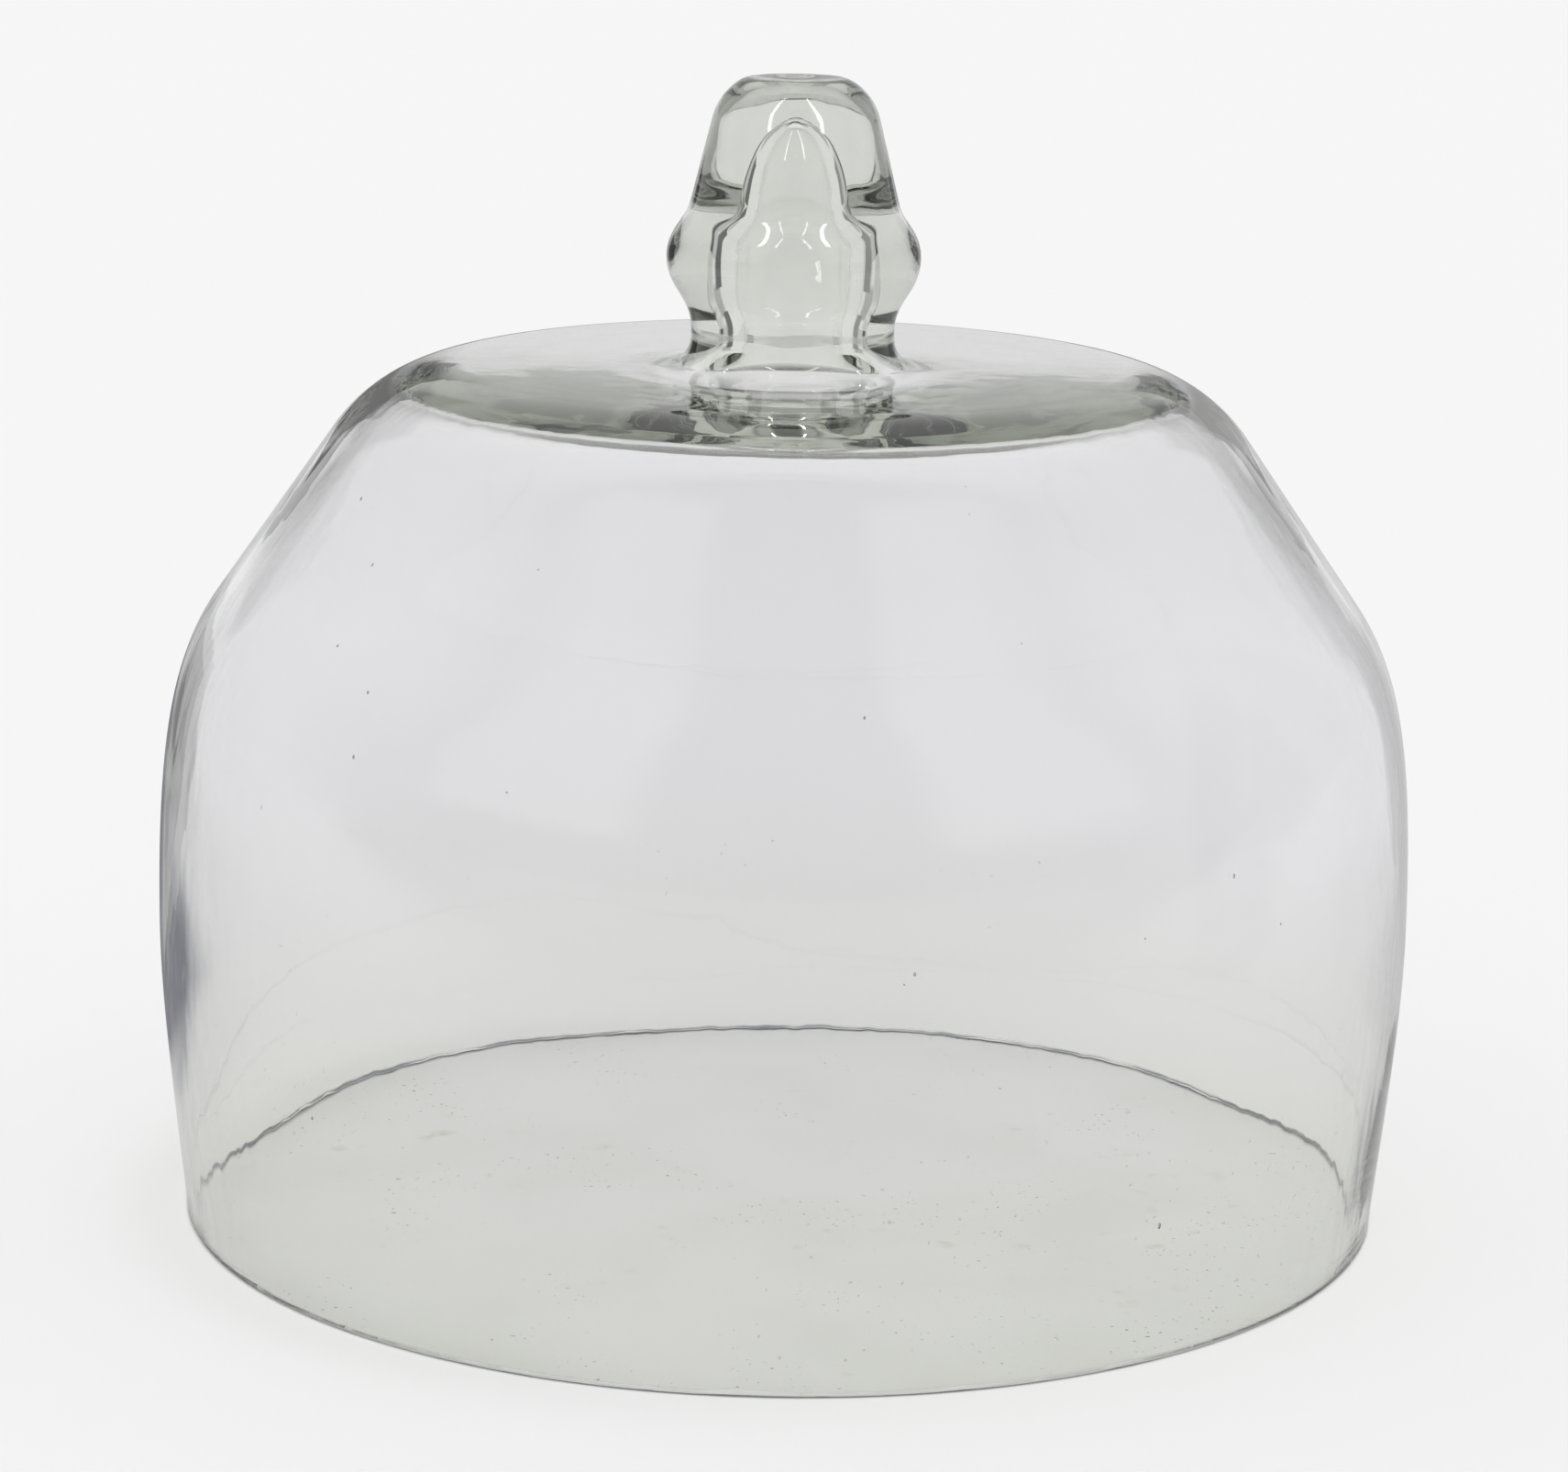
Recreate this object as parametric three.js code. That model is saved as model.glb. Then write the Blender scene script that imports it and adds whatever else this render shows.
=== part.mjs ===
// A blown glass dome that stands over food, with a hollow glass knob to lift it by.
// The bell and the knob are blown apart and welded together hot, on the flat crown.
// Millimetres, +Z up, origin at the centre of the ground rim that the dome stands on.

import * as THREE from 'three';

// Outside of the bell, from the rim up to the crown
const RIM_RADIUS = 125;
const RIM_LEAN = 5.5; // degrees that the wall leans outwards as it leaves the rim
const BELLY_RADIUS = 130;
const BELLY_HEIGHT = 62; // rim to the widest place
const KNEE_RADIUS = 118; // where the straight upper wall begins
const KNEE_RISE = 66.5; // widest place to the knee
const CONE_LEAN = 35; // degrees that the straight upper wall leans inwards
const CONE_LENGTH = 42; // knee to shoulder, along the slope
const SHOULDER_BEND = 33; // radius of the bend from the upper wall onto the flat crown

// Glass of the bell, thin at the rim and thick at the crown
const RIM_WALL = 2.6;
const RIM_BEVEL = 0.5; // ground off both edges of the rim
const BELLY_WALL = 3.2;
const KNEE_WALL = 3.6;
const SHOULDER_WALL = 5;
const CROWN_WALL = 6.5;
const CROWN_REACH = 6; // how much wider the crown is flat underneath than on top

// The weld between the bell and the knob, and the mouth that flares down through it
const FOOT_RADIUS = 25.6;
const FOOT_EDGE = 0.6; // height of the foot's square edge
const FLARE_RADIUS = 26; // where the flare runs out under the crown
const FLARE_WALL = 7; // glass of the crown there
const FLARE_RISE = 5; // weld to the narrow end of the flare, in the neck
const MOUTH_RADIUS = 11.8; // at the weld
const MOUTH_LEAN = 31; // degrees that the flare leans inwards at the weld

// Outside of the knob, each rise measured from the place before it
const FOOT_RISE = 4.8; // edge of the foot to the top of its fillet
const NECK_RADIUS = 20.9;
const NECK_RISE = 2;
const BEAD_RADIUS = 26.2;
const BEAD_RISE = 14.5;
const BEAD_FLANK_LEAN = 34; // degrees of the bead's upper flank where it meets the grip
const GRIP_RADIUS = 21.8; // foot of the tapered grip, in the groove above the bead
const GROOVE_RISE = 9.5;
const GROOVE_FILLET = 1.2;
const GRIP_LEAN = 14; // degrees of the grip's taper
const GRIP_LENGTH = 19.6;
const TOP_RISE = 8; // end of the taper to the lip round the dish
const DISH_RADIUS = 9.6; // shallow dish in the top of the grip
const DISH_DEPTH = 0.7;

// Glass of the knob round its hollow
const NECK_WALL = 10.9;
const BEAD_WALL = 14.4;
const GRIP_WALL = 14.2;
const CAP_WALL = 9.2; // from the dish down to the tip of the hollow

// Fineness of the faceted surfaces
const BELL_SIDES = 64;
const BELL_STEPS = 6;
const KNOB_SIDES = 40;
const KNOB_STEPS = 4;

// How far each free curve follows the slope at its ends, as a share of its chord
const WALL_REACH = 0.3; // the lower wall is nearly straight
const KNEE_LEAVE = 0.55; // the knee starts gently above the belly
const KNEE_ARRIVE = 0.23; // and tightens into the upper wall
const SWELL_REACH = 0.4;
const TOP_LEAVE = 0.4;
const TOP_ARRIVE = 0.2;
const TIP_LEAVE = 0.5;
const TIP_ARRIVE = 0.24;

const UPRIGHT = 0;
const LEVEL = 90;

// A place on a profile: radius, height, and how far its wall leans inwards from upright
function place(radius, height, lean) {
  const angle = THREE.MathUtils.degToRad(lean);
  return {
    point: new THREE.Vector2(radius, height),
    along: new THREE.Vector2(-Math.sin(angle), Math.cos(angle)),
    inward: new THREE.Vector2(-Math.cos(angle), -Math.sin(angle)),
    lean,
  };
}

// The place that lies this far along its own slope
function onward(from, distance) {
  return { ...from, point: from.point.clone().addScaledVector(from.along, distance) };
}

// The same place on the inner face of a wall
function insideOf(outer, wall) {
  return { ...outer, point: outer.point.clone().addScaledVector(outer.inward, wall) };
}

function straight(start, end) {
  return new THREE.LineCurve(start.point, end.point);
}

// A curve that leaves and arrives along both slopes, its handles given as shares of the chord
function sweep(start, end, leave, arrive) {
  const chord = start.point.distanceTo(end.point);
  return new THREE.CubicBezierCurve(
    start.point,
    onward(start, chord * leave).point,
    onward(end, -chord * arrive).point,
    end.point,
  );
}

// A sweep as near to a round arc as a cubic curve comes
function arc(start, end) {
  const turn = THREE.MathUtils.degToRad(Math.abs(end.lean - start.lean));
  const share = ((2 / 3) * Math.tan(turn / 4)) / Math.sin(turn / 2);
  return sweep(start, end, share, share);
}

// A double curve, such as a neck that swells into a bead
function swell(start, end) {
  return sweep(start, end, SWELL_REACH, SWELL_REACH);
}

// Points along a chain of curves, with each join given once
function trace(curves, steps) {
  const points = [curves[0].getPoint(0)];
  for (const curve of curves) {
    const count = curve.isLineCurve ? 1 : steps;
    points.push(...curve.getPoints(count).slice(1));
  }
  return points;
}

// Turns a profile of (radius, height) points about Z
function revolve(points, sides) {
  return new THREE.LatheGeometry(points, sides).rotateX(Math.PI / 2);
}

// Both faces of the bell's wall: straight up to the belly, round the knee, up the cone, over the crown
function bellFace(rim, belly, knee, shoulder, crown) {
  return [
    sweep(rim, belly, WALL_REACH, WALL_REACH),
    sweep(belly, knee, KNEE_LEAVE, KNEE_ARRIVE),
    straight(knee, shoulder),
    arc(shoulder, crown),
  ];
}

// Bell
const rim = place(RIM_RADIUS, RIM_BEVEL, -RIM_LEAN);
const belly = place(BELLY_RADIUS, BELLY_HEIGHT, UPRIGHT);
const knee = place(KNEE_RADIUS, BELLY_HEIGHT + KNEE_RISE, CONE_LEAN);
const shoulder = onward(knee, CONE_LENGTH);
const shoulderCentre = insideOf(shoulder, SHOULDER_BEND).point;
const crownHeight = shoulderCentre.y + SHOULDER_BEND;
const crown = place(shoulderCentre.x, crownHeight, LEVEL);

const innerRim = place(RIM_RADIUS - RIM_WALL, RIM_BEVEL, -RIM_LEAN);
const innerCrown = place(crown.point.x + CROWN_REACH, crownHeight - CROWN_WALL, LEVEL);
const flare = place(FLARE_RADIUS, crownHeight - FLARE_WALL, LEVEL);
const mouth = place(MOUTH_RADIUS, crownHeight, MOUTH_LEAN);

const outside = trace([
  ...bellFace(rim, belly, knee, shoulder, crown),
  straight(crown, mouth),
], BELL_STEPS);

const inside = trace([
  ...bellFace(
    innerRim,
    insideOf(belly, BELLY_WALL),
    insideOf(knee, KNEE_WALL),
    insideOf(shoulder, SHOULDER_WALL),
    innerCrown,
  ),
  swell(innerCrown, flare),
  arc(flare, mouth),
], BELL_STEPS);

const groundOuter = new THREE.Vector2(RIM_RADIUS - RIM_BEVEL, 0);
const groundInner = new THREE.Vector2(RIM_RADIUS - RIM_WALL + RIM_BEVEL, 0);
const downInside = inside.reverse().slice(1); // the outside already ends at the mouth
const bellProfile = [groundOuter, ...outside, ...downInside, groundInner, groundOuter];

// Knob, with its heights measured from the weld
const foot = place(FOOT_RADIUS, FOOT_EDGE, LEVEL);
const filletTop = place(NECK_RADIUS, FOOT_EDGE + FOOT_RISE, UPRIGHT);
const neck = onward(filletTop, NECK_RISE);
const bead = place(BEAD_RADIUS, neck.point.y + BEAD_RISE, UPRIGHT);
const grooveHeight = bead.point.y + GROOVE_RISE;
const beadFlank = onward(place(GRIP_RADIUS, grooveHeight, BEAD_FLANK_LEAN), -GROOVE_FILLET);
const grip = onward(place(GRIP_RADIUS, grooveHeight, GRIP_LEAN), GROOVE_FILLET);
const gripTop = onward(grip, GRIP_LENGTH - GROOVE_FILLET);
const lip = place(DISH_RADIUS, gripTop.point.y + TOP_RISE, LEVEL);
const dish = place(0, lip.point.y - DISH_DEPTH, LEVEL);

const knobOutside = trace([
  arc(foot, filletTop),
  straight(filletTop, neck),
  swell(neck, bead),
  swell(bead, beadFlank),
  arc(beadFlank, grip),
  straight(grip, gripTop),
  sweep(gripTop, lip, TOP_LEAVE, TOP_ARRIVE),
  swell(lip, dish),
], KNOB_STEPS);

const hollowMouth = place(MOUTH_RADIUS, 0, MOUTH_LEAN);
const hollowNeck = insideOf(neck, NECK_WALL);
const flareEnd = place(hollowNeck.point.x, FLARE_RISE, UPRIGHT);
const hollowBulge = insideOf(bead, BEAD_WALL);
const hollowThroat = place(GRIP_RADIUS - GRIP_WALL, grooveHeight, GRIP_LEAN / 2);
const hollowTip = place(0, dish.point.y - CAP_WALL, LEVEL);

const knobInside = trace([
  arc(hollowMouth, flareEnd),
  straight(flareEnd, hollowNeck),
  swell(hollowNeck, hollowBulge),
  swell(hollowBulge, hollowThroat),
  sweep(hollowThroat, hollowTip, TIP_LEAVE, TIP_ARRIVE),
], KNOB_STEPS);

const footCorner = new THREE.Vector2(FOOT_RADIUS, 0);
const knobProfile = [...knobInside.reverse(), footCorner, ...knobOutside];

// Clear soda glass with a faint grey-green cast
function glass() {
  return new THREE.MeshStandardMaterial({
    color: 0xd5d9d6,
    roughness: 0.03,
    metalness: 0,
    transparent: true,
    opacity: 0.35,
  });
}

const bellMesh = new THREE.Mesh(revolve(bellProfile, BELL_SIDES), glass());
bellMesh.name = 'bell';

const knobMesh = new THREE.Mesh(revolve(knobProfile, KNOB_SIDES), glass());
knobMesh.name = 'knob';
knobMesh.position.z = crownHeight;

const dome = new THREE.Group();
dome.add(bellMesh, knobMesh);

export default dome;
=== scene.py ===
import math
import random
from collections import namedtuple

import bmesh
import bpy
from mathutils import Matrix, Vector, noise
from mathutils.geometry import interpolate_bezier


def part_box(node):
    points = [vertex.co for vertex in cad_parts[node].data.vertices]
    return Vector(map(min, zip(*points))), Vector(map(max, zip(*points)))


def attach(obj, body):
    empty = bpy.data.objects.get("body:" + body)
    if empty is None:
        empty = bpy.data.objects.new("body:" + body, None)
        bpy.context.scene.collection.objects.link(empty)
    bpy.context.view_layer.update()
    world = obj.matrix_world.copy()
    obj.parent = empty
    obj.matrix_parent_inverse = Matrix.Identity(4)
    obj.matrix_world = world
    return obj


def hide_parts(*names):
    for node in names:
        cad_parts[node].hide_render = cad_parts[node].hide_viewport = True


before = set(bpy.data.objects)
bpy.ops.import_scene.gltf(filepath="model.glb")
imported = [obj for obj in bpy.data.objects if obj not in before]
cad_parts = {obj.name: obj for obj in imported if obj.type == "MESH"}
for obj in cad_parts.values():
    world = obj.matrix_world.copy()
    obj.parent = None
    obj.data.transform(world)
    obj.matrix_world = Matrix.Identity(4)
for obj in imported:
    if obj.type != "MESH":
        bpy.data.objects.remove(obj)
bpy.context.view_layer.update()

# Glass of the dome
# The bell and the knob are blown apart and welded hot on the crown, so one skin of clear soda glass
# runs from the dish in the knob down the outside, round the ground rim and up inside to the hollow.
MM = 0.001
UPRIGHT = 0
LEVEL = 90

# Outside of the bell, with leans in degrees inwards from upright
RIM_RADIUS = 125 * MM
RIM_LEAN = -5.5
RIM_BEVEL = 0.5 * MM
BELLY_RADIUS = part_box("bell")[1].x
BELLY_HEIGHT = 62 * MM
KNEE_RADIUS = 118 * MM
KNEE_HEIGHT = 128.5 * MM
CONE_LEAN = 35
CONE_LENGTH = 42 * MM
SHOULDER_BEND = 33 * MM
CROWN_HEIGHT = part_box("bell")[1].z

# Outside of the knob, with rises measured from the crown
FOOT_RADIUS = 25.6 * MM
FOOT_RISE = 0.3 * MM
NECK_RADIUS = 20.9 * MM
NECK_RISE = 5.4 * MM
NECK_LENGTH = 2 * MM
BEAD_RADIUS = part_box("knob")[1].x
BEAD_RISE = 21.9 * MM
FLANK_LEAN = 34
GROOVE_RISE = 31.4 * MM
GROOVE_FILLET = 1.2 * MM
GRIP_RADIUS = 21.8 * MM
GRIP_LEAN = 14
GRIP_LENGTH = 18.4 * MM
TOP_RISE = 8 * MM  # from the end of the grip's taper
DISH_RADIUS = 9.6 * MM
DISH_DEPTH = 0.7 * MM

# Glass of the bell, thin at the rim and thick at the crown, and the mouth that flares down through it
RIM_WALL = 2.6 * MM
BELLY_WALL = 3.2 * MM
KNEE_WALL = 3.6 * MM
SHOULDER_WALL = 5 * MM
CROWN_WALL = 6.5 * MM
CROWN_REACH = 6 * MM  # how much wider the crown is flat underneath than on top
FLARE_RADIUS = 30 * MM
FLARE_WALL = 8 * MM
MOUTH_RADIUS = 12.4 * MM
MOUTH_LEAN = 36
MOUTH_RISE = 5 * MM

# Glass of the knob round its hollow
NECK_WALL = 10.9 * MM
BEAD_WALL = 14.4 * MM
THROAT_RADIUS = 7.6 * MM
THROAT_LEAN = 7
CAP_WALL = 9.2 * MM

# How far each curve follows the slope at its ends, as a share of its chord
STRAIGHT_REACH = 0.33
WALL_REACH = 0.3
KNEE_LEAVE = 0.55
KNEE_ARRIVE = 0.23
SWELL_REACH = 0.4
TOP_LEAVE = 0.4
TOP_ARRIVE = 0.2
THROAT_LEAVE = 0.2
THROAT_ARRIVE = 0.5
TIP_LEAVE = 0.5
TIP_ARRIVE = 0.24

# A place on an outline: its point, the way the wall runs up there, and the way into the glass
Place = namedtuple("Place", ("point", "along", "inward"))


def place(radius, height, lean):
    turn = math.radians(lean)
    along = Vector((-math.sin(turn), 0, math.cos(turn)))
    inward = Vector((-math.cos(turn), 0, -math.sin(turn)))
    return Place(Vector((radius, 0, height)), along, inward)


def onward(start, distance):
    """The place that lies this far along its own slope."""
    return start._replace(point=start.point + start.along * distance)


def across(outer, wall):
    """The same place on the inner face of a wall."""
    return outer._replace(point=outer.point + outer.inward * wall)


def sweep(start, end, leave, arrive, steps):
    """Points of a curve that leaves and arrives along both slopes, the first one left out."""
    chord = (end.point - start.point).length
    points = interpolate_bezier(
        start.point,
        start.point + start.along * chord * leave,
        end.point - end.along * chord * arrive,
        end.point,
        steps + 1,
    )
    return points[1:]


def straight(start, end, steps):
    return sweep(start, end, STRAIGHT_REACH, STRAIGHT_REACH, steps)


def swell(start, end, steps):
    """A double curve, such as a neck that swells into a bead."""
    return sweep(start, end, SWELL_REACH, SWELL_REACH, steps)


def rounded(start, end, steps):
    """A sweep as near to a round arc as a cubic curve comes."""
    turn = start.along.angle(end.along)
    share = (2 / 3) * math.tan(turn / 4) / math.sin(turn / 2)
    return sweep(start, end, share, share, steps)


def bell_face(rim, belly, knee, shoulder, crown):
    """Points up one face of the bell, from the rim over the belly, the knee and the cone to the crown."""
    points = [rim.point]
    points += sweep(rim, belly, WALL_REACH, WALL_REACH, steps=22)
    points += sweep(belly, knee, KNEE_LEAVE, KNEE_ARRIVE, steps=28)
    points += straight(knee, shoulder, steps=10)
    points += rounded(shoulder, crown, steps=22)
    return points


rim = place(RIM_RADIUS, RIM_BEVEL, RIM_LEAN)
belly = place(BELLY_RADIUS, BELLY_HEIGHT, UPRIGHT)
knee = place(KNEE_RADIUS, KNEE_HEIGHT, CONE_LEAN)
shoulder = onward(knee, CONE_LENGTH)
crown = place(across(shoulder, SHOULDER_BEND).point.x, CROWN_HEIGHT, LEVEL)
foot = place(FOOT_RADIUS, CROWN_HEIGHT + FOOT_RISE, LEVEL)
fillet = place(NECK_RADIUS, CROWN_HEIGHT + NECK_RISE, UPRIGHT)
neck = onward(fillet, NECK_LENGTH)
bead = place(BEAD_RADIUS, CROWN_HEIGHT + BEAD_RISE, UPRIGHT)
groove_height = CROWN_HEIGHT + GROOVE_RISE
flank = onward(place(GRIP_RADIUS, groove_height, FLANK_LEAN), -GROOVE_FILLET)
grip = onward(place(GRIP_RADIUS, groove_height, GRIP_LEAN), GROOVE_FILLET)
grip_top = onward(grip, GRIP_LENGTH)
lip = place(DISH_RADIUS, grip_top.point.z + TOP_RISE, LEVEL)
dish = place(0, lip.point.z - DISH_DEPTH, LEVEL)

outside = bell_face(rim, belly, knee, shoulder, crown)
outside += straight(crown, foot, steps=12)
outside += rounded(foot, fillet, steps=6)
outside += straight(fillet, neck, steps=1)
outside += swell(neck, bead, steps=12)
outside += swell(bead, flank, steps=12)
outside += rounded(flank, grip, steps=4)
outside += straight(grip, grip_top, steps=8)
outside += sweep(grip_top, lip, TOP_LEAVE, TOP_ARRIVE, steps=12)
outside += swell(lip, dish, steps=6)

inner_rim = place(RIM_RADIUS - RIM_WALL, RIM_BEVEL, RIM_LEAN)
inner_belly = across(belly, BELLY_WALL)
inner_knee = across(knee, KNEE_WALL)
inner_shoulder = across(shoulder, SHOULDER_WALL)
inner_crown = place(crown.point.x + CROWN_REACH, CROWN_HEIGHT - CROWN_WALL, LEVEL)
flare = place(FLARE_RADIUS, CROWN_HEIGHT - FLARE_WALL, LEVEL)
mouth = place(MOUTH_RADIUS, CROWN_HEIGHT, MOUTH_LEAN)
mouth_top = place(NECK_RADIUS - NECK_WALL, CROWN_HEIGHT + MOUTH_RISE, UPRIGHT)
hollow_neck = across(neck, NECK_WALL)
hollow_bulge = across(bead, BEAD_WALL)
hollow_throat = place(THROAT_RADIUS, groove_height, THROAT_LEAN)
hollow_tip = place(0, dish.point.z - CAP_WALL, LEVEL)

inside = bell_face(inner_rim, inner_belly, inner_knee, inner_shoulder, inner_crown)
inside += sweep(inner_crown, flare, WALL_REACH, WALL_REACH, steps=20)
inside += rounded(flare, mouth, steps=10)
inside += rounded(mouth, mouth_top, steps=4)
inside += swell(mouth_top, hollow_neck, steps=2)
inside += swell(hollow_neck, hollow_bulge, steps=10)
inside += sweep(hollow_bulge, hollow_throat, THROAT_LEAVE, THROAT_ARRIVE, steps=10)
inside += sweep(hollow_throat, hollow_tip, TIP_LEAVE, TIP_ARRIVE, steps=12)

ground_outer = Vector((RIM_RADIUS - RIM_BEVEL, 0, 0))
ground_inner = Vector((RIM_RADIUS - RIM_WALL + RIM_BEVEL, 0, 0))
outline = outside[::-1] + [ground_outer, ground_inner] + inside

# The outline is spun into one sector, which is repeated all the way round
SECTORS = 16
SECTOR_STEPS = 18
SAME_PLACE = 0.001 * MM
SAME_RADIUS = 0.01 * MM
RIM_ZONE = 0.6 * MM  # the ground face and its bevels lie below this height

glass = bmesh.new()
within = glass.verts.layers.int.new("within")  # marks the inner face
chain = [glass.verts.new(point) for point in outline]
for vert in chain[-len(inside):]:
    vert[within] = 1
chain_edges = [glass.edges.new(pair) for pair in zip(chain, chain[1:])]
about = {"cent": (0, 0, 0), "axis": (0, 0, 1), "dvec": (0, 0, 0), "use_merge": False}
width = math.tau / SECTORS
start = chain + chain_edges
bmesh.ops.spin(glass, geom=start, angle=width, steps=SECTOR_STEPS, use_duplicate=False, **about)
sector = glass.verts[:] + glass.edges[:] + glass.faces[:]
others = SECTORS - 1
bmesh.ops.spin(glass, geom=sector, angle=width * others, steps=others, use_duplicate=True, **about)
bmesh.ops.remove_doubles(glass, verts=glass.verts, dist=SAME_PLACE)
bmesh.ops.recalc_face_normals(glass, faces=glass.faces)


def runs_round_rim(edge):
    start, end = (vert.co for vert in edge.verts)
    same_radius = abs(start.xy.length - end.xy.length) < SAME_RADIUS
    return same_radius and max(start.z, end.z) < RIM_ZONE


rim_edges = [edge for edge in glass.edges if runs_round_rim(edge)]
bmesh.ops.subdivide_edges(glass, edges=rim_edges, cuts=2)
glass.normal_update()

# Unevenness from the blowing, each depth at its most
WIDE_CHIP = 0.35 * MM
SMALL_CHIP = 0.3 * MM
CHIP_CLIMB = 2  # how much higher than deep a chip is
THICK_SIDE = 1.1 * MM
INNER_WAVE = 0.14 * MM
INNER_RIPPLE = 0.02 * MM
HOLLOW_WAVE = 0.16 * MM
HOLLOW_RIPPLE = 0.03 * MM
UNDERSIDE_RINGS = 0.1 * MM
OUTER_DENT = 0.04 * MM
KNOB_DENT = 0.05 * MM
GRIP_DENT = 0.05 * MM
FOOT_RINGS = 0.2 * MM
AXIS_ZONE = 10 * MM  # the outside runs smooth towards the axis
SHARP_ZONE = 2.2 * MM  # the edges of the ground rim stay sharp

# The soft steps at which it begins or ends, in heights above the rim and then in radii
THICK_START = (4 * MM, 50 * MM)
THICK_END = (85 * MM, 140 * MM)
UNDERSIDE_START = (CROWN_HEIGHT - 12 * MM, CROWN_HEIGHT - 9 * MM)
KNOB_START = (CROWN_HEIGHT - 2 * MM, CROWN_HEIGHT + 6 * MM)
GRIP_START = (CROWN_HEIGHT + 30 * MM, CROWN_HEIGHT + 36 * MM)
UNDERSIDE_INNER = (12 * MM, 18 * MM)
UNDERSIDE_OUTER = (60 * MM, 80 * MM)
FOOT_INNER = (24 * MM, 28 * MM)
FOOT_OUTER = (32 * MM, 48 * MM)


def ease(value, start, end):
    """0 before start, 1 after end, and a soft step between them."""
    share = min(max((value - start) / (end - start), 0), 1)
    return share * share * (3 - 2 * share)


def drift(point, pitch, seed):
    """Smooth wandering between -1 and 1, with a wave about every pitch."""
    return noise.noise(point / pitch + Vector((seed, 2 * seed, 3 * seed)))


def rings(radius, way, pitch, waver):
    """Wandering between -1 and 1 that runs in wavering rings about the axis."""
    return noise.noise(Vector((radius / pitch, way.x * waver, way.y * waver)))


def chip_depth(way):
    """How deep the inner edge of the ground rim is chipped, with pitches as shares of its radius."""
    wide = max(drift(way, pitch=0.12, seed=5), 0)
    small = max(drift(way, pitch=0.03, seed=6), 0)
    return WIDE_CHIP * wide + SMALL_CHIP * small ** 2


def inner_swell(point, radius, way, on_knob):
    """How far the inner face stands out along its normal."""
    in_bell = INNER_WAVE * drift(point, pitch=50 * MM, seed=1)
    in_bell += INNER_RIPPLE * drift(point, pitch=16 * MM, seed=2)
    in_hollow = HOLLOW_WAVE * drift(point, pitch=12 * MM, seed=3)
    in_hollow += HOLLOW_RIPPLE * drift(point, pitch=5 * MM, seed=8)
    under_crown = ease(point.z, *UNDERSIDE_START) * (1 - on_knob)
    under_crown *= ease(radius, *UNDERSIDE_INNER) * (1 - ease(radius, *UNDERSIDE_OUTER))
    waves = UNDERSIDE_RINGS * under_crown * rings(radius, way, pitch=7 * MM, waver=0.8)
    return in_bell * (1 - on_knob) + in_hollow * on_knob + waves


def outer_dent(point, radius, way, on_knob):
    """How far the outer face moves along its normal, never past the outline."""
    on_grip = ease(point.z, *GRIP_START)
    round_foot = ease(radius, *FOOT_INNER) * (1 - ease(radius, *FOOT_OUTER))
    dent = OUTER_DENT * (drift(point, pitch=60 * MM, seed=4) - 1)
    dent += KNOB_DENT * on_knob * (drift(point, pitch=7 * MM, seed=7) - 1)
    dent += GRIP_DENT * on_grip * (drift(point, pitch=3.5 * MM, seed=9) - 1)
    dent += FOOT_RINGS * round_foot * (rings(radius, way, pitch=5 * MM, waver=1.5) - 1)
    return dent * min(radius / AXIS_ZONE, 1)


ground_middle = (ground_outer.x + ground_inner.x) / 2
for vert in glass.verts:
    point = vert.co.copy()
    radius = point.xy.length
    way = Vector((point.x, point.y, 0)).normalized()
    on_knob = ease(point.z, *KNOB_START)
    if point.z < RIM_ZONE:
        if vert[within]:
            vert.co.z += CHIP_CLIMB * chip_depth(way)
        elif radius < ground_middle:
            vert.co += way * chip_depth(way)
    elif vert[within]:
        up_wall = ease(point.z, *THICK_START) * (1 - ease(point.z, *THICK_END))
        vert.co.x += THICK_SIDE * up_wall
        vert.co += vert.normal * inner_swell(point, radius, way, on_knob)
    else:
        vert.co += vert.normal * outer_dent(point, radius, way, on_knob)

for face in glass.faces:
    face.smooth = True
for edge in glass.edges:
    if max(vert.co.z for vert in edge.verts) < SHARP_ZONE:
        edge.smooth = False

# Air bubbles in the wall of the bell, drawn out upwards
BUBBLES = 26
LOWEST_STEP = 4  # of the outline's points, from the rim up
HIGHEST_STEP = 60
LEAST_DEPTH = 1 * MM
MOST_DEPTH = 1.5 * MM
MOST_DRAWN = 2.2
LEAST_SIZE = 0.16 * MM
MOST_SIZE = 0.34 * MM

chance = random.Random(11)
bubbles = bmesh.new()
for count in range(BUBBLES):
    skin = outside[chance.randrange(LOWEST_STEP, HIGHEST_STEP)]
    angle = chance.uniform(0, math.tau)
    deep = skin.x - chance.uniform(LEAST_DEPTH, MOST_DEPTH)
    drawn = Matrix.Translation((deep * math.cos(angle), deep * math.sin(angle), skin.z))
    drawn @= Matrix.Diagonal((1, 1, chance.uniform(1, MOST_DRAWN), 1))
    size = chance.uniform(LEAST_SIZE, MOST_SIZE)
    bmesh.ops.create_icosphere(bubbles, subdivisions=2, radius=size, matrix=drawn)
for face in bubbles.faces:
    face.smooth = True
bmesh.ops.reverse_faces(bubbles, faces=bubbles.faces)
bubble_mesh = bpy.data.meshes.new("bubbles")
bubbles.to_mesh(bubble_mesh)
bubbles.free()
glass.from_mesh(bubble_mesh)
bpy.data.meshes.remove(bubble_mesh)


def put_down(name, shape):
    """Turns a finished shape into an object at the origin."""
    mesh = bpy.data.meshes.new(name)
    shape.to_mesh(mesh)
    shape.free()
    item = bpy.data.objects.new(name, mesh)
    bpy.context.collection.objects.link(item)
    return item


dome = put_down("dome_glass", glass)

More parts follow.
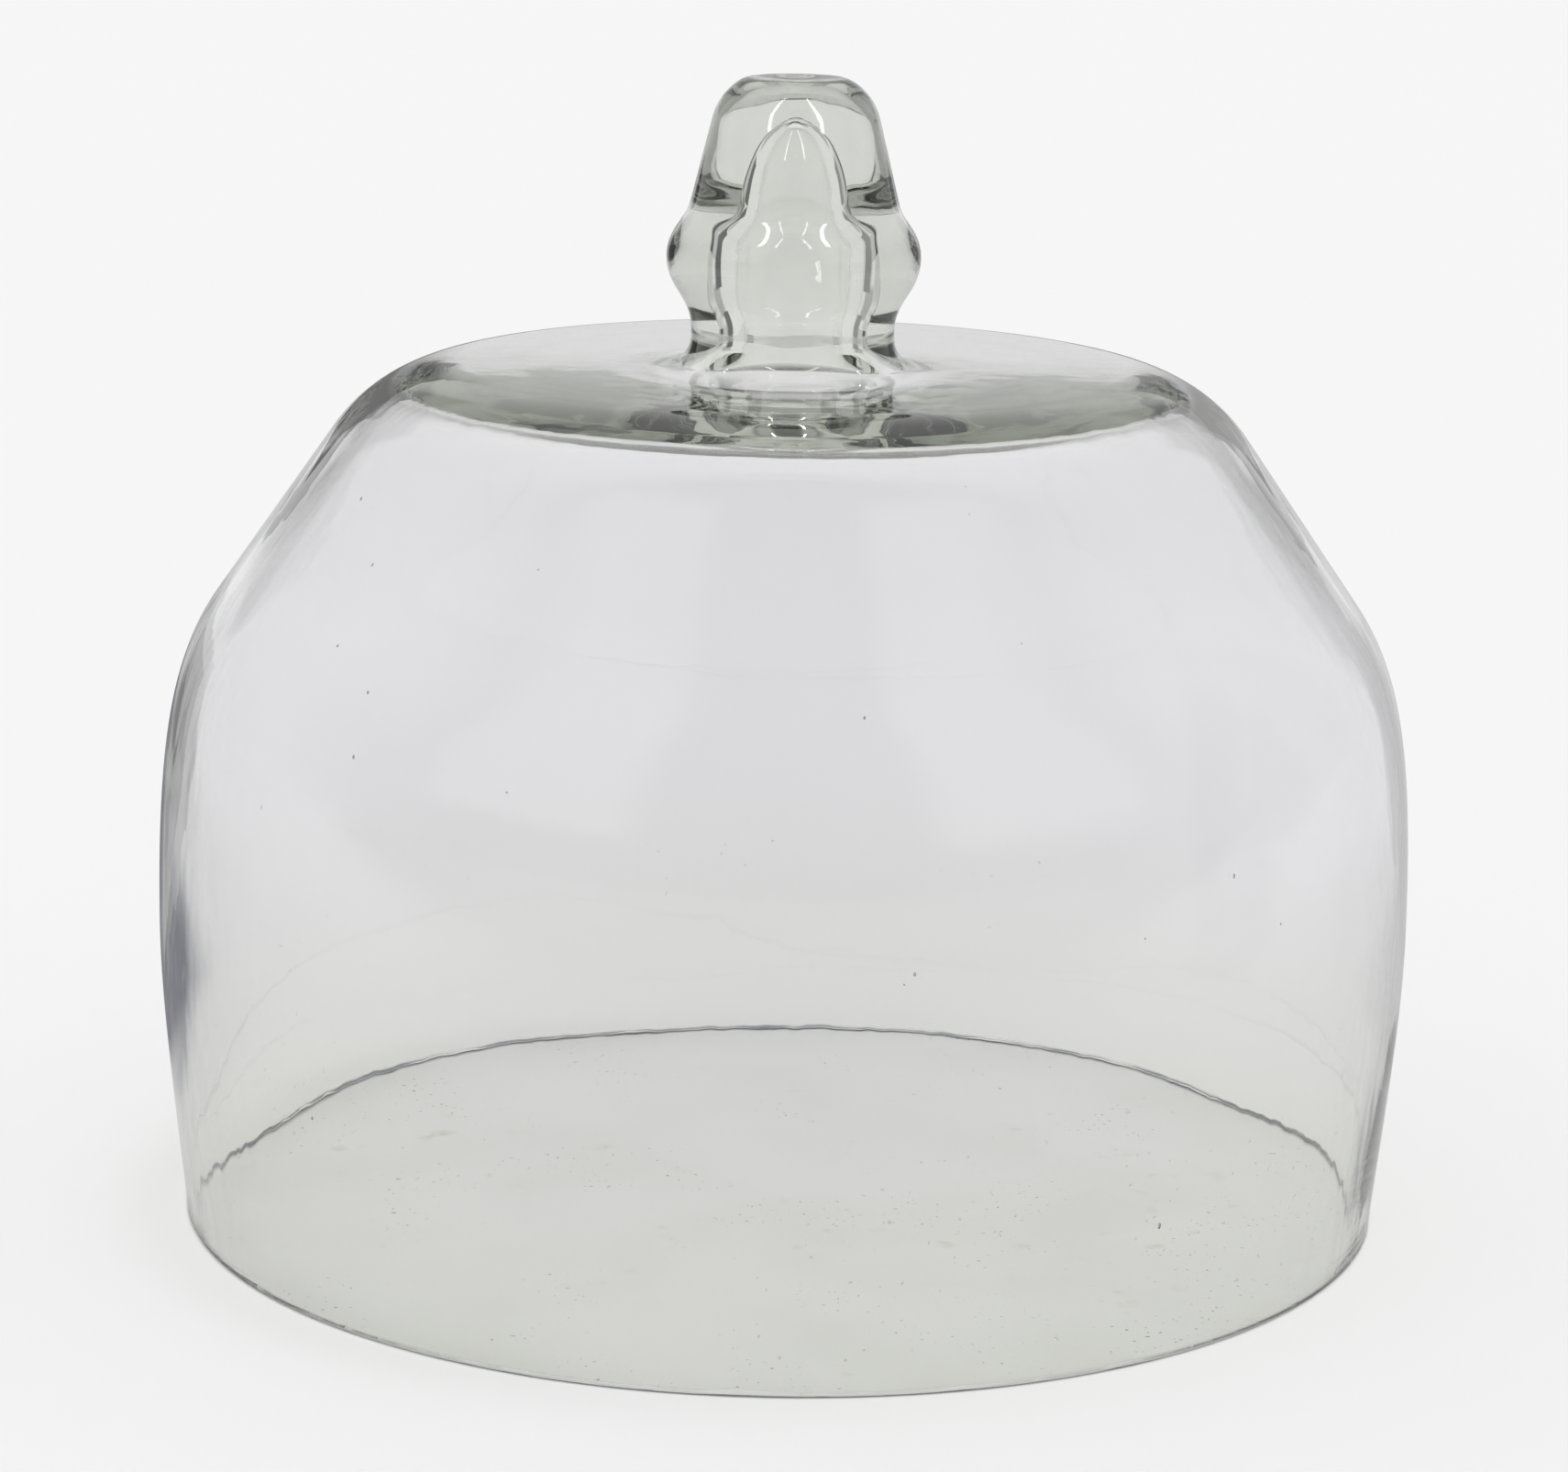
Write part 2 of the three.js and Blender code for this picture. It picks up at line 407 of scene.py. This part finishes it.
# Clear soda glass, with a green-grey cast where it is thick, a dusty coating low down that is darker
# partly as painted shade of the floor inside, a rough ground edge, and painted shade along the back of
# the rim where it meets the floor
GLASS_IOR = 1.5
CAST_COLOUR = (0.58, 0.61, 0.54)
CAST_DENSITY = 20
BELL_TINT = (0.948, 0.942, 0.962)
KNOB_TINT = (0.965, 0.966, 0.955)
# Coating on the lower glass, darker partly as painted shade of the floor inside the dome
FILM_AND_SHADE_TINT = (0.915, 0.92, 0.892)
GRAIN_COLOUR = (0.6, 0.58, 0.52)
# Blue-grey of the painted shade along the back of the ground rim, where it meets the floor
RIM_SHADE_COLOUR = (0.16, 0.165, 0.19)
WELD_ZONE = (165 * MM, 185 * MM)
FILM_AND_SHADE_ZONE = (0, 90 * MM)
THINNEST_FILM_AND_SHADE = 0.7  # the coating and its painted shade at their thinnest, as a share
GRAIN_ZONE = (30 * MM, 70 * MM)
EDGE_ZONE = (0.6 * MM, 1.1 * MM)
EDGE_ROUGHNESS = 0.3
# The painted rim shade: its heights, how ragged its top is, and where it fades out at the front
RIM_SHADE_ZONE = (0.8 * MM, 1.1 * MM)
RIM_SHADE_RAGGEDNESS = 1.2 * MM
RIM_SHADE_FRONT = (-40 * MM, 0)  # the painted rim shade fades out towards the front
STREAK_DEPTH = 0.05 * MM
STREAK_STRETCH = (1, 1, 0.4)


def new_finish(name):
    finish = bpy.data.materials.new(name)
    finish.use_nodes = True
    return finish


def reckon(tree, operation, *terms):
    """One sum on numbers or sockets."""
    node = tree.nodes.new("ShaderNodeMath")
    node.operation = operation
    for socket, term in zip(node.inputs, terms):
        if isinstance(term, (int, float)):
            socket.default_value = term
        else:
            tree.links.new(term, socket)
    return node.outputs[0]


def product(tree, first, second):
    return reckon(tree, "MULTIPLY", first, second)


def fade(tree, value, start, end, low=0.0, high=1.0):
    """A soft step from low to high as the value passes from start to end."""
    node = tree.nodes.new("ShaderNodeMapRange")
    node.interpolation_type = "SMOOTHSTEP"
    tree.links.new(value, node.inputs["Value"])
    node.inputs["From Min"].default_value = start
    node.inputs["From Max"].default_value = end
    node.inputs["To Min"].default_value = low
    node.inputs["To Max"].default_value = high
    return node.outputs[0]


def fade_out(tree, value, start, end):
    """A soft step from 1 down to 0."""
    return fade(tree, value, start, end, 1.0, 0.0)


def tint(tree, share, first, second):
    """A colour that goes from the first to the second as the share goes from 0 to 1."""
    node = tree.nodes.new("ShaderNodeMix")
    node.data_type = "RGBA"
    tree.links.new(share, node.inputs[0])
    start_socket, end_socket = node.inputs[6], node.inputs[7]  # the pair that takes colours
    for socket, colour in ((start_socket, first), (end_socket, second)):
        if isinstance(colour, tuple):
            socket.default_value = (*colour, 1)
        else:
            tree.links.new(colour, socket)
    return node.outputs[2]


def speckle(tree, spot, scale, detail):
    """Cloudy noise about 0.5, with about this many clouds to the metre."""
    node = tree.nodes.new("ShaderNodeTexNoise")
    node.inputs["Scale"].default_value = scale
    node.inputs["Detail"].default_value = detail
    tree.links.new(spot, node.inputs["Vector"])
    return node.outputs[0]


def clouds(tree, spot, scale, detail, start, end):
    """1 in the clouds of a noise and 0 between them."""
    return fade(tree, speckle(tree, spot, scale, detail), start, end)


def own_place(tree):
    """The place on the piece, in metres."""
    return tree.nodes.new("ShaderNodeTexCoord").outputs["Object"]


def axes_of(tree, spot):
    """The X, Y and Z of a place."""
    node = tree.nodes.new("ShaderNodeSeparateXYZ")
    tree.links.new(spot, node.inputs[0])
    return node.outputs


clear = new_finish("clear soda glass")
tree = clear.node_tree
body = tree.nodes["Principled BSDF"]
body.inputs["IOR"].default_value = GLASS_IOR
body.inputs["Transmission Weight"].default_value = 1
cast = tree.nodes.new("ShaderNodeVolumeAbsorption")
cast.inputs["Color"].default_value = (*CAST_COLOUR, 1)
cast.inputs["Density"].default_value = CAST_DENSITY
tree.links.new(cast.outputs[0], tree.nodes["Material Output"].inputs["Volume"])

spot = own_place(tree)
axes = axes_of(tree, spot)
height = axes["Z"]
# A dusty coating on the lower glass, warmer and darker than the clean glass; part of its darkness is
# painted shade, standing for the shade the dome casts on the floor inside it.
patchy = fade(tree, speckle(tree, spot, scale=9, detail=4), 0.2, 0.6, low=THINNEST_FILM_AND_SHADE)
film_and_shade = product(tree, fade_out(tree, height, *FILM_AND_SHADE_ZONE), patchy)
grains = clouds(tree, spot, scale=700, detail=1, start=0.74, end=0.78)
grains = product(tree, grains, clouds(tree, spot, scale=14, detail=2, start=0.45, end=0.6))
grains = product(tree, grains, fade_out(tree, height, *GRAIN_ZONE))
# A ragged line of painted shade along the ground rim where it meets the floor, on the back half only
ragged_edge = product(tree, speckle(tree, spot, scale=70, detail=6), RIM_SHADE_RAGGEDNESS)
rim_shade = fade_out(tree, reckon(tree, "ADD", height, ragged_edge), *RIM_SHADE_ZONE)
rim_shade = product(tree, rim_shade, fade(tree, axes["Y"], *RIM_SHADE_FRONT))
colour = tint(tree, fade(tree, height, *WELD_ZONE), BELL_TINT, KNOB_TINT)
# the dusty coating with its painted shade
colour = tint(tree, film_and_shade, colour, FILM_AND_SHADE_TINT)
colour = tint(tree, grains, colour, GRAIN_COLOUR)
# the painted rim shade
colour = tint(tree, rim_shade, colour, RIM_SHADE_COLOUR)
tree.links.new(colour, body.inputs["Base Color"])
ground_edge = fade_out(tree, height, *EDGE_ZONE)
tree.links.new(product(tree, ground_edge, EDGE_ROUGHNESS), body.inputs["Roughness"])

stretch = tree.nodes.new("ShaderNodeMapping")
stretch.inputs["Scale"].default_value = STREAK_STRETCH
tree.links.new(spot, stretch.inputs["Vector"])
streaks = tree.nodes.new("ShaderNodeBump")
streaks.inputs["Strength"].default_value = 1
streaks.inputs["Distance"].default_value = STREAK_DEPTH
tree.links.new(speckle(tree, stretch.outputs[0], scale=90, detail=2), streaks.inputs["Height"])
tree.links.new(streaks.outputs[0], body.inputs["Normal"])
dome.data.materials.append(clear)

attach(dome, "root")
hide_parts("bell", "knob")

# Floor
# A wide sheet of pale matt paper that the dome stands on. The glass mirrors it in other tones, dark
# towards the lens, straight behind and in a patch at the sides, most on the left, which draw its edges.
FLOOR_DROP = 0.04 * MM
FLOOR_HALF = 6  # half its side
PAPER_TONE = 0.924
NEAR_TONE = 0.72
SIDE_TONE = 0.92
BACK_TONE = 0.62
DARK_TONE = 0.1
LENS_TONE = 0.22
PATCH_COLOUR = (0.23, 0.23, 0.26)
PATCH_SHARES = (1.0, 0.25)  # how strong the patch is on the left and on the right

# The soft steps between those tones, in metres and in degrees round from the front
FAR_OFF = (0.35, 0.8)
TOWARDS_BACK = (130, 168)
STRAIGHT_BEHIND = (170, 175)
TOWARDS_LENS = (-0.6, -0.1)
PATCH_INNER = (0.13, 0.16)
PATCH_OUTER = (0.26, 0.34)
PATCH_FRONT = (0.06, 0.1)
PATCH_BACK = (0.5, 0.9)
LEFT_TO_RIGHT = (-0.01, 0.01)


def grey(tone):
    return (tone, tone, tone)


def mirrored(tree):
    """1 for what shows as a reflection in the glass, 0 for a plain view and for light on the floor."""
    path = tree.nodes.new("ShaderNodeLightPath")
    seen = reckon(tree, "LESS_THAN", path.outputs["Diffuse Depth"], 1)
    glint = reckon(tree, "GREATER_THAN", path.outputs["Glossy Depth"], 0)
    return product(tree, seen, glint)


def bearing_of(tree, axes):
    """The angle round the dome from the front, alike on the left and on the right."""
    aside = reckon(tree, "ABSOLUTE", axes["X"])
    ahead = product(tree, axes["Y"], -1)
    return reckon(tree, "ARCTAN2", aside, ahead)


def turned(tree, bearing, start, end):
    """A soft step as the bearing passes from start to end, in degrees."""
    return fade(tree, bearing, math.radians(start), math.radians(end))


def matt_sheet(finish):
    """The shader of a finish with no gloss at all."""
    shader = finish.node_tree.nodes["Principled BSDF"]
    shader.inputs["Roughness"].default_value = 1
    shader.inputs["Specular IOR Level"].default_value = 0
    return shader


paper = bmesh.new()
bmesh.ops.create_grid(paper, x_segments=1, y_segments=1, size=FLOOR_HALF)
bmesh.ops.translate(paper, verts=paper.verts, vec=(0, 0, -FLOOR_DROP))
floor = put_down("floor", paper)

matt = new_finish("matt paper")
tree = matt.node_tree
spot = own_place(tree)
axes = axes_of(tree, spot)
reach = tree.nodes.new("ShaderNodeVectorMath")
reach.operation = "LENGTH"
tree.links.new(spot, reach.inputs[0])
bearing = bearing_of(tree, axes)
distant = tint(tree, turned(tree, bearing, *TOWARDS_BACK), grey(SIDE_TONE), grey(BACK_TONE))
distant = tint(tree, turned(tree, bearing, *STRAIGHT_BEHIND), distant, grey(DARK_TONE))
tone = tint(tree, fade(tree, reach.outputs["Value"], *FAR_OFF), grey(NEAR_TONE), distant)
tone = tint(tree, fade_out(tree, axes["Y"], *TOWARDS_LENS), tone, grey(LENS_TONE))
aside = reckon(tree, "ABSOLUTE", axes["X"])
beside = product(tree, fade(tree, aside, *PATCH_INNER), fade_out(tree, aside, *PATCH_OUTER))
rearward = product(tree, fade(tree, axes["Y"], *PATCH_FRONT), fade_out(tree, axes["Y"], *PATCH_BACK))
patch = product(tree, beside, rearward)
patch = product(tree, patch, fade(tree, axes["X"], *LEFT_TO_RIGHT, *PATCH_SHARES))
tone = tint(tree, patch, tone, PATCH_COLOUR)
tone = tint(tree, mirrored(tree), grey(PAPER_TONE), tone)
tree.links.new(tone, matt_sheet(matt).inputs["Base Color"])
floor.data.materials.append(matt)

# Mat in painted shade
# A round off-white sheet under the dome, cut to its rim, greyer than the paper as painted shade for the
# shade the dome casts on the floor inside it. It is a little dirty from use, with faint stains and small
# dark flecks, and lies loose on the floor.
MAT_RADIUS = 124.4 * MM
MAT_SIDES = 144
MAT_DROP = 0.02 * MM
SHADED_MAT_COLOUR = (0.81, 0.815, 0.795)
# Grey of the mat, which is painted shade of the dome on the floor inside it
SMUDGE_COLOUR = (0.77, 0.775, 0.745)
STAIN_COLOUR = (0.66, 0.655, 0.6)
FLECK_COLOUR = (0.35, 0.33, 0.28)

disc = bmesh.new()
bmesh.ops.create_circle(disc, cap_ends=True, segments=MAT_SIDES, radius=MAT_RADIUS)
bmesh.ops.translate(disc, verts=disc.verts, vec=(0, 0, -MAT_DROP))
mat = put_down("mat", disc)

soiled_and_shaded = new_finish("soiled sheet")
tree = soiled_and_shaded.node_tree
spot = own_place(tree)
smudges = clouds(tree, spot, scale=22, detail=5, start=0.35, end=0.75)
stains = clouds(tree, spot, scale=110, detail=5, start=0.6, end=0.8)
stains = product(tree, stains, clouds(tree, spot, scale=18, detail=2, start=0.45, end=0.6))
flecks = clouds(tree, spot, scale=800, detail=1, start=0.7, end=0.74)
flecks = product(tree, flecks, clouds(tree, spot, scale=30, detail=3, start=0.48, end=0.6))
# The painted shade under the dome, with smudges, stains and flecks over it
colour = tint(tree, smudges, SHADED_MAT_COLOUR, SMUDGE_COLOUR)
colour = tint(tree, stains, colour, STAIN_COLOUR)
colour = tint(tree, flecks, colour, FLECK_COLOUR)
tree.links.new(colour, matt_sheet(soiled_and_shaded).inputs["Base Color"])
mat.data.materials.append(soiled_and_shaded)

# Grey cards
# Four cards stand upright behind the dome, a low pair beside the bell and a high pair behind the crown,
# and draw its edges dark. Only reflections show them, and their near ends are soft.
# Each has its near and far end seen from above, the heights of its foot and top, and its tone.
Card = namedtuple("Card", ("near", "far", "foot", "top", "tone"))
CARDS = {
    "card_left": Card((-0.17, 0.13), (-0.42, 0.36), 0.001, 0.12, 0.5),
    "card_right": Card((0.17, 0.14), (0.42, 0.36), 0.001, 0.301, 0.56),
    "high_card_left": Card((-0.075, 0.15), (-0.17, 0.15), 0.16, 0.222, 0.17),
    "high_card_right": Card((0.08, 0.15), (0.17, 0.15), 0.16, 0.222, 0.35),
}
SOFT_END = 0.03


def reflected_only(name, strength, cover):
    """A finish that glows in reflections where its cover is 1, and is clear to everything else."""
    finish = new_finish(name)
    tree = finish.node_tree
    glow = tree.nodes.new("ShaderNodeEmission")
    glow.inputs["Strength"].default_value = strength
    see_through = tree.nodes.new("ShaderNodeBsdfTransparent")
    shown = tree.nodes.new("ShaderNodeMixShader")
    tree.links.new(product(tree, mirrored(tree), cover(tree)), shown.inputs[0])
    tree.links.new(see_through.outputs[0], shown.inputs[1])
    tree.links.new(glow.outputs[0], shown.inputs[2])
    tree.links.new(shown.outputs[0], tree.nodes["Material Output"].inputs["Surface"])
    finish.cycles.emission_sampling = "NONE"
    return finish


def soft_from(start):
    """The cover of a card that fades in from this far off the middle."""
    def cover(tree):
        aside = reckon(tree, "ABSOLUTE", axes_of(tree, own_place(tree))["X"])
        return fade(tree, aside, start, start + SOFT_END)
    return cover


def keep_from_view(item):
    """Leaves a piece of the set to the glass alone."""
    item.visible_camera = False
    item.visible_diffuse = False
    item.visible_shadow = False


for name, card in CARDS.items():
    sheet = bmesh.new()
    bottom = [sheet.verts.new((*corner, card.foot)) for corner in (card.near, card.far)]
    side = bmesh.ops.extrude_edge_only(sheet, edges=[sheet.edges.new(bottom)])
    raised = [item for item in side["geom"] if isinstance(item, bmesh.types.BMVert)]
    bmesh.ops.translate(sheet, verts=raised, vec=(0, 0, card.top - card.foot))
    board = put_down(name, sheet)
    keep_from_view(board)
    board.data.materials.append(reflected_only(name, card.tone, soft_from(abs(card.near[0]))))

# Strip lamps
# Two upright lamps hang close in front of the knob and shine back at it, which draws the bright lines
# in its hollow. Only reflections show them, and they are clear from their backs.
STRIP_ASIDE = 0.03
STRIP_AHEAD = 0.05
STRIP_WIDTH = 0.006
STRIP_FOOT = 0.243
STRIP_TOP = 0.41
STRIP_STRENGTH = 11
UNIT_SQUARE = 0.5  # half the side of a square that is then cut to size


def front_cover(tree):
    """The cover of a lamp that shines from its front alone."""
    back = tree.nodes.new("ShaderNodeNewGeometry").outputs["Backfacing"]
    return reckon(tree, "SUBTRACT", 1, back)


for name, side in (("strip_left", -1), ("strip_right", 1)):
    strip = bmesh.new()
    hung = Matrix.Translation((side * STRIP_ASIDE, -STRIP_AHEAD, (STRIP_FOOT + STRIP_TOP) / 2))
    hung @= Matrix.Rotation(math.radians(-90), 4, "X")
    hung @= Matrix.Diagonal((STRIP_WIDTH, STRIP_TOP - STRIP_FOOT, 1, 1))
    bmesh.ops.create_grid(strip, x_segments=1, y_segments=1, size=UNIT_SQUARE, matrix=hung)
    lamp = put_down(name, strip)
    keep_from_view(lamp)
    lamp.data.materials.append(reflected_only(name, STRIP_STRENGTH, front_cover))

# Light
# A white tent all round, even to a plain view. The glass mirrors a fuller one, dark towards the front,
# with a dim window on either side, grey flags and a grey low wall at the back, and a bright top there.
VIEW_LEVEL = 0.924
LIGHT_LEVEL = 1.0
FRONT_LEVEL = 0.05
TENT_LEVEL = 0.92
WINDOW_LEVEL = 0.6
WALL_LEVEL = 0.7
TOP_LEVEL = 1.1
FLAG_LEVEL = 0.55

# Bearings are degrees from the front and heights sines of the elevation. Steps have a start and an end,
# bands a start, an end and the width of their soft edges.
TENT_BEARINGS = (55, 110)
WINDOW_BEARINGS = (22, 76, 12)
WINDOW_HEIGHTS = (0.1, 0.95, 0.12)
WALL_BEARINGS = (160, 172)
WALL_HEIGHTS = (0.2, 0.34)
TOP_BEARINGS = (120, 140)
TOP_HEIGHTS = (0.6, 0.97, 0.12)
FLAG_BEARINGS = (139, 166, 3)
FLAG_HEIGHTS = (0.1, 0.5, 0.06)


def blend(tree, share, first, second):
    """A level that goes from the first to the second as the share goes from 0 to 1."""
    node = tree.nodes.new("ShaderNodeMix")
    node.data_type = "FLOAT"
    start_socket, end_socket = node.inputs[2], node.inputs[3]  # the pair that takes numbers
    for socket, term in ((node.inputs[0], share), (start_socket, first), (end_socket, second)):
        if isinstance(term, (int, float)):
            socket.default_value = term
        else:
            tree.links.new(term, socket)
    return node.outputs[0]


def band(tree, value, start, end, soft):
    """1 between start and end, with soft edges."""
    return product(tree, fade(tree, value, start, start + soft), fade_out(tree, value, end - soft, end))


def bearing_band(tree, bearing, start, end, soft):
    """1 between two bearings in degrees, with soft edges."""
    return band(tree, bearing, math.radians(start), math.radians(end), math.radians(soft))


tent = bpy.data.worlds.new("tent")
bpy.context.scene.world = tent
tent.use_nodes = True
tent.cycles.sampling_method = "NONE"
tree = tent.node_tree
cloth = tree.nodes["Background"]
cloth.inputs["Color"].default_value = (1, 1, 1, 1)
axes = axes_of(tree, tree.nodes.new("ShaderNodeTexCoord").outputs["Generated"])
bearing = bearing_of(tree, axes)
overhead = axes["Z"]
window = bearing_band(tree, bearing, *WINDOW_BEARINGS)
window = product(tree, window, band(tree, overhead, *WINDOW_HEIGHTS))
wall = product(tree, turned(tree, bearing, *WALL_BEARINGS), fade_out(tree, overhead, *WALL_HEIGHTS))
top = product(tree, turned(tree, bearing, *TOP_BEARINGS), band(tree, overhead, *TOP_HEIGHTS))
flags = bearing_band(tree, bearing, *FLAG_BEARINGS)
flags = product(tree, flags, band(tree, overhead, *FLAG_HEIGHTS))
level = blend(tree, turned(tree, bearing, *TENT_BEARINGS), FRONT_LEVEL, TENT_LEVEL)
level = blend(tree, window, level, WINDOW_LEVEL)
level = blend(tree, wall, level, WALL_LEVEL)
level = blend(tree, top, level, TOP_LEVEL)
level = blend(tree, flags, level, FLAG_LEVEL)
path = tree.nodes.new("ShaderNodeLightPath")
lighting = reckon(tree, "GREATER_THAN", path.outputs["Diffuse Depth"], 0)
plain = blend(tree, lighting, VIEW_LEVEL, LIGHT_LEVEL)
tree.links.new(blend(tree, mirrored(tree), plain, level), cloth.inputs["Strength"])

# Camera
# A long lens in front of the dome and a little above it, held a degree off level. Its place and its
# angles are the ones that the photograph was taken from.
SENSOR_WIDTH = 36
FOCAL_LENGTH = 107.07
EYE = (0, -0.94876, 0.31379)
PITCH = math.radians(12.7706)
YAW = math.radians(-0.0228)
ROLL = math.radians(0.9652)
LIGHT_BOUNCES = 24

lens = bpy.data.cameras.new("camera")
lens.sensor_width = SENSOR_WIDTH
lens.lens = FOCAL_LENGTH
camera = bpy.data.objects.new("camera", lens)
bpy.context.collection.objects.link(camera)
sight = Vector((math.sin(YAW) * math.cos(PITCH), math.cos(YAW) * math.cos(PITCH), -math.sin(PITCH)))
level_right = Vector((math.cos(YAW), -math.sin(YAW), 0))
level_up = level_right.cross(sight)
right = level_right * math.cos(ROLL) + level_up * math.sin(ROLL)
up = level_up * math.cos(ROLL) - level_right * math.sin(ROLL)
held = Matrix((right, up, -sight)).transposed().to_4x4()
held.translation = Vector(EYE)
camera.matrix_world = held
bpy.context.scene.camera = camera
bpy.context.scene.view_settings.view_transform = "Standard"
bpy.context.scene.cycles.max_bounces = LIGHT_BOUNCES
bpy.context.scene.cycles.transmission_bounces = LIGHT_BOUNCES
bpy.context.scene.cycles.glossy_bounces = LIGHT_BOUNCES
bpy.context.scene.cycles.blur_glossy = 0
